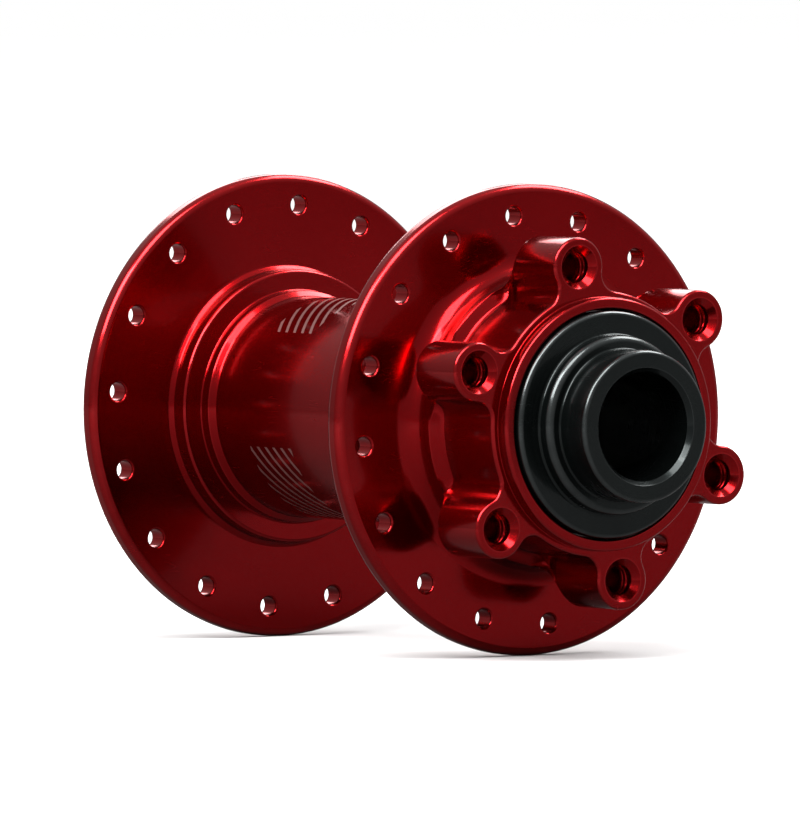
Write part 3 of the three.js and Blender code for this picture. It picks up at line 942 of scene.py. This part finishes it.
# The groove's arc is centred a little beyond the ball circle, so that the balls all but touch its
# bottom. The tangents from its two edges to that arc meet this far from the ball circle.
beyond = groove_turn - ball_radius - ball_play
tangent_lean = math.atan2(groove_edge, land + beyond) - math.acos(
    groove_turn / math.hypot(groove_edge, land + beyond))
groove_meet = groove_turn / math.cos(tangent_lean) - beyond
inner_land, outer_land = ball_circle - land, ball_circle + land
inner_race = [
    (bearing_bore, 0, 0), (bearing_bore, -half_width, 0.35), (inner_land, -half_width, 0.12),
    (inner_land, -groove_edge, 0.05), (ball_circle - groove_meet, 0, groove_turn),
    (inner_land, groove_edge, 0.05), (inner_land, half_width, 0.12),
    (bearing_bore, half_width, 0.35), (bearing_bore, 0, 0),
]
outer_race = [
    (race_radius, 0, 0), (race_radius, half_width, 0.35), (recess_radius, half_width, 0.12),
    (recess_radius, recess_edge, 0.08), (outer_land, recess_edge, 0.1),
    (outer_land, groove_edge, 0.05), (ball_circle + groove_meet, 0, groove_turn),
    (outer_land, -groove_edge, 0.05), (outer_land, -recess_edge, 0.1),
    (recess_radius, -recess_edge, 0.08), (recess_radius, -half_width, 0.12),
    (race_radius, -half_width, 0.35), (race_radius, 0, 0),
]
steel_bright, steel_smudged = (0.5, 0.5, 0.51, 1), (0.4, 0.385, 0.36, 1)

race_finish, tree, shader = finish_of("ground_bearing_steel", Metallic=1.0)
lines = placed(tree, turning_lines, Lines_per_Metre=14000.0)["Lines"]
marks = placed(tree, handling, Smudge_Scale=130.0)
surfaced(tree, shader, blended(tree, marks["Smudge"], steel_bright, steel_smudged),
         summed(tree, 0.12, (lines, 0.1), (marks["Smudge"], 0.08)))
embossed(tree, shader, lines, 0.001)

for name, side in SIDES:
    for which, profile, body in (("inner", inner_race, "axle"), ("outer", outer_race, "shell")):
        race = joined(
            f"{name}_side_{which}_ring",
            [on_side(turned(profile, 8, small_angle), side, bearing_middle)],
            race_finish, body, f"{name}_side_{which}_race",
        )

# ---- Bearing seals ---------------------------------------------------------------------------
# Nitrile rubber moulded on a steel washer and snapped into the outer ring's recess, two to a
# bearing. A raised lip runs round the inside, a raised bead round the outside.

seal_low, seal_high = corners_of("drive_side_outboard_seal")
seal_back, seal_face = seal_low[1] - bearing_middle, seal_high[1] - bearing_middle
seal_radius = seal_high[0]
seal_hole = 11.92
seal_web = seal_face - 0.2  # the flat ring between lip and bead
seal_profile = [
    (seal_hole, 2.95, 0), (seal_hole, seal_back, 0.1), (seal_radius, seal_back, 0.1),
    (seal_radius, seal_face, 0.18), (14.0, seal_face, 0.1), (13.85, seal_web, 0.1),
    (12.75, seal_web, 0.1), (12.6, seal_face, 0.1), (12.25, seal_face, 0.12),
    (seal_hole, seal_face - 0.25, 0.08), (seal_hole, 2.95, 0),
]
seal_black, seal_grey = (0.012, 0.012, 0.014, 1), (0.03, 0.029, 0.03, 1)
seal_greasy = (0.045, 0.04, 0.032, 1)

seal_finish, tree, shader = finish_of("moulded_seal_rubber")
grain = noise(tree, places(tree), 1500.0, 3.0)
marks = placed(tree, handling, Smudge_Scale=160.0)
colour = blended(tree, grain, seal_black, seal_grey)
surfaced(tree, shader, blended(tree, marks["Smudge"], colour, seal_greasy),
         summed(tree, 0.62, (marks["Smudge"], -0.2)))
embossed(tree, shader, grain, 0.008)

for name, side in SIDES:
    for where, facing in (("outboard", 1), ("inboard", -1)):
        seal = joined(
            f"{name}_side_{where}_rubber_seal",
            [on_side(on_side(turned(seal_profile, 3, small_angle), facing), side,
                     bearing_middle)],
            seal_finish, "shell", f"{name}_side_{where}_seal",
        )

# ---- Ball cages ------------------------------------------------------------------------------
# A crown moulded in natural nylon: a thin ring with twelve round pockets that open towards the
# middle of the hub, so that it snaps over the balls from outboard.

balls = 12
first_ball = math.atan2(ball_middle[2], ball_middle[0])
cage_low, cage_high = corners_of("drive_side_ball_cage")
cage_radii = (12.35, cage_high[0])
cage_back = cage_high[1] - bearing_middle  # closed side
cage_tip = cage_low[1] - bearing_middle  # ends of the prongs
cage_round = 0.14
pocket_size = 1.87
foot_share = 0.82  # of the closed side, that the columns of a pocket run to
tip_columns, pocket_columns = 4, 40
nylon_deep, nylon_pale = (0.52, 0.45, 0.31, 1), (0.66, 0.6, 0.45, 1)
nylon_stained = (0.4, 0.32, 0.2, 1)


def cage_edge():
    """One pocket's lower edge and the points of the closed side that its columns run to, both as
    (distance round the ball circle, along): half a prong tip, the pocket's arc, half a tip."""
    half = math.pi * ball_circle / balls
    open_half = math.sqrt(pocket_size**2 - cage_tip**2)
    start = math.atan2(cage_tip, -open_half) % (2 * math.pi)
    t = np.linspace(start, math.pi - start, pocket_columns + 1)
    bowl = pocket_size * np.stack([np.cos(t), np.sin(t)], axis=-1)
    tip = np.stack([np.linspace(-half, -open_half, tip_columns + 1),
                    np.full(tip_columns + 1, cage_tip)], axis=-1)[:-1]
    lower = np.concatenate([tip, bowl, tip[::-1] * (-1, 1)])
    foot = foot_share * half
    across = np.concatenate([
        np.linspace(-half, -foot, tip_columns + 1)[:-1],
        np.linspace(-foot, foot, pocket_columns + 1),
        np.linspace(foot, half, tip_columns + 1)[1:],
    ])
    return lower, np.stack([across, np.full(len(across), cage_back)], axis=-1)


def crown():
    """The cage as one grid. Rows go round its rounded section (radius, depth from the lower
    edge); depths beyond the rounding stretch with each column's own length."""
    lower, upper = cage_edge()
    length = np.linalg.norm(upper - lower, axis=1)
    nominal = cage_back - cage_tip
    section, edge_mask = rounded([
        (cage_radii[0], nominal / 2, 0), (cage_radii[0], 0, cage_round),
        (cage_radii[1], 0, cage_round), (cage_radii[1], nominal, cage_round),
        (cage_radii[0], nominal, cage_round), (cage_radii[0], nominal / 2, 0),
    ], 3)
    depth = section[:, 1:]
    low, high = cage_round + SUPPORT, nominal - cage_round - SUPPORT
    share = np.clip((depth - low) / (high - low), 0, 1)
    depth = np.minimum(depth, low) + np.maximum(depth - high, 0) + share * (
        length - nominal + high - low
    )
    part = (depth / length)[..., None]
    flat = lower + (upper - lower) * part
    around = first_ball + np.arange(balls)[:, None, None] * 2 * math.pi / balls
    angle = around + flat[None, :, :-1, 0] / ball_circle
    radius = np.broadcast_to(section[:, :1], angle.shape)
    height = np.broadcast_to(flat[None, :, :-1, 1], angle.shape)
    grid = np.stack([radius * np.cos(angle), height, radius * np.sin(angle)], axis=-1)
    grid = np.concatenate(list(grid), axis=1)
    return grid[None], np.broadcast_to(edge_mask[:, None], grid.shape[:2])[None], True


cage_finish, tree, shader = finish_of("natural_nylon", Coat_Weight=0.1, Coat_Roughness=0.3)
cloudy = noise(tree, places(tree), 240.0, 3.0)
marks = placed(tree, handling, Smudge_Scale=170.0)
colour = blended(tree, cloudy, nylon_deep, nylon_pale)
surfaced(tree, shader, blended(tree, marks["Smudge"], colour, nylon_stained),
         summed(tree, 0.3, (cloudy, 0.2)))
embossed(tree, shader, cloudy, 0.01)

for name, side in SIDES:
    cage = joined(
        f"{name}_side_nylon_cage", [on_side(crown(), side, bearing_middle)], cage_finish,
        f"{name}_cage", f"{name}_side_ball_cage",
    )

# ---- Balls -----------------------------------------------------------------------------------
# Twelve lapped chrome-steel balls to a bearing, 3.5 mm across, with a thin film of grease. The
# cage keeps them evenly spaced, and they go round with it.

ball_rows, ball_columns = 28, 48
ball_steel, ball_greasy = (0.56, 0.56, 0.57, 1), (0.66, 0.65, 0.62, 1)

ball_finish, tree, shader = finish_of("lapped_ball_steel", Metallic=1.0)
film = noise(tree, places(tree), 700.0, 3.0, 0.6, 0.5)
surfaced(tree, shader, blended(tree, film, ball_steel, ball_greasy),
         summed(tree, 0.0, (film, 0.12)))


def ball(angle):
    """A sphere on the ball circle: (r sin u cos v, r cos u, r sin u sin v) about its centre."""
    u = np.linspace(0, math.pi, ball_rows + 1)[:, None]
    v = np.arange(ball_columns) * 2 * math.pi / ball_columns
    centre = ball_circle * np.array([math.cos(angle), 0, math.sin(angle)])
    grid = centre + ball_radius * np.stack(
        [np.sin(u) * np.cos(v), np.cos(u) + 0 * v, np.sin(u) * np.sin(v)], axis=-1
    )
    return grid[None], np.zeros((1,) + grid.shape[:2]), True


for name, side in SIDES:
    for number in range(balls):
        angle = first_ball + number * 2 * math.pi / balls
        steel_ball = joined(
            f"{name}_side_steel_ball_{number + 1:02d}",
            [on_side(ball(angle), side, bearing_middle)],
            ball_finish, f"{name}_cage", f"{name}_side_ball_{number + 1:02d}",
        )
